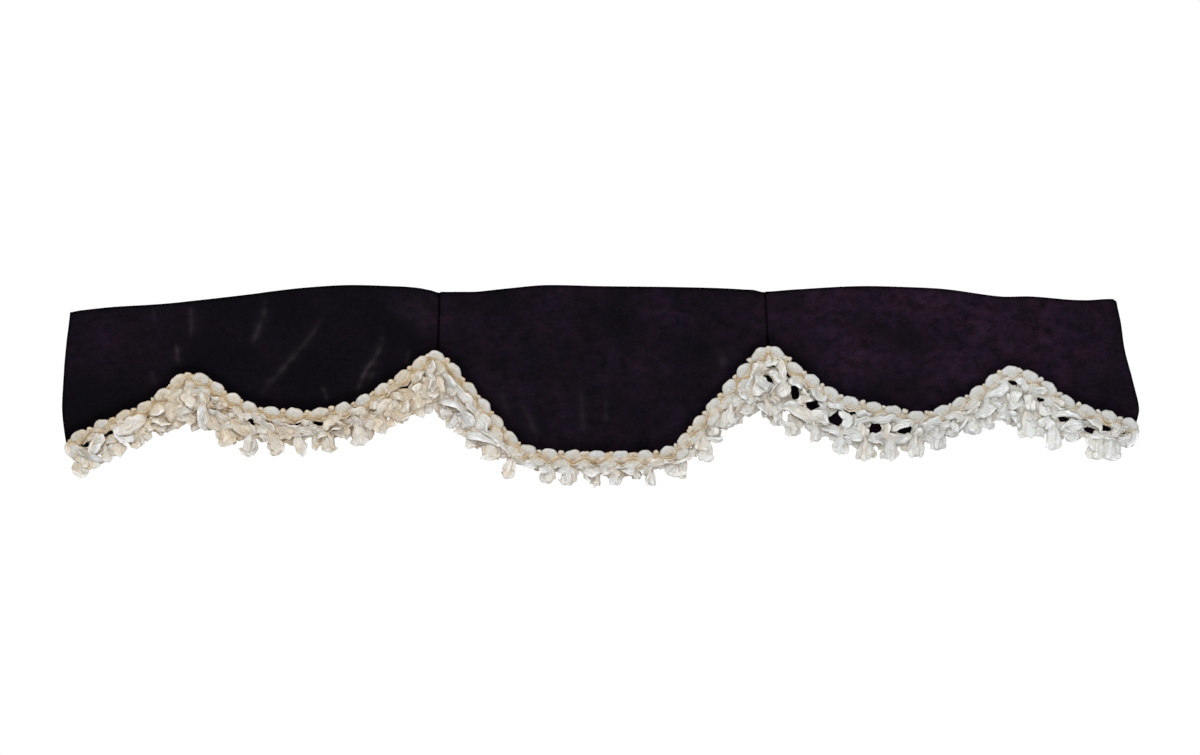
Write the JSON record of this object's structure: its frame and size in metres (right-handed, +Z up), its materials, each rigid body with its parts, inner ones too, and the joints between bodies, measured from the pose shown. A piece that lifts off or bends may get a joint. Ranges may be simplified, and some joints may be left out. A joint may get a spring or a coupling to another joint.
{
  "type": "truck windscreen curtain",
  "caption": "Pelmet curtain for the top of a truck windscreen: dark plush panels sewn edge to edge, a scalloped lower edge and a cream tassel fringe along it.",
  "frame": {"origin": "middle of the curtain's top edge, in the cloth", "axes": "+X along the curtain's width, to the right as seen from its face; -Y the way its face looks; +Z up"},
  "size_m": [2.0923, 0.0495, 0.3965],
  "materials": {
    "plush": "matte",
    "fringe_yarn": "matte"
  },
  "bodies": {
    "root": {"panel_left": "plush", "panel_centre": "plush", "panel_right": "plush", "fringe_1": "fringe_yarn", "fringe_2": "fringe_yarn", "fringe_3": "fringe_yarn", "fringe_4": "fringe_yarn", "fringe_5": "fringe_yarn", "fringe_6": "fringe_yarn", "fringe_7": "fringe_yarn", "fringe_8": "fringe_yarn", "fringe_9": "fringe_yarn"}
  },
  "joints": []
}
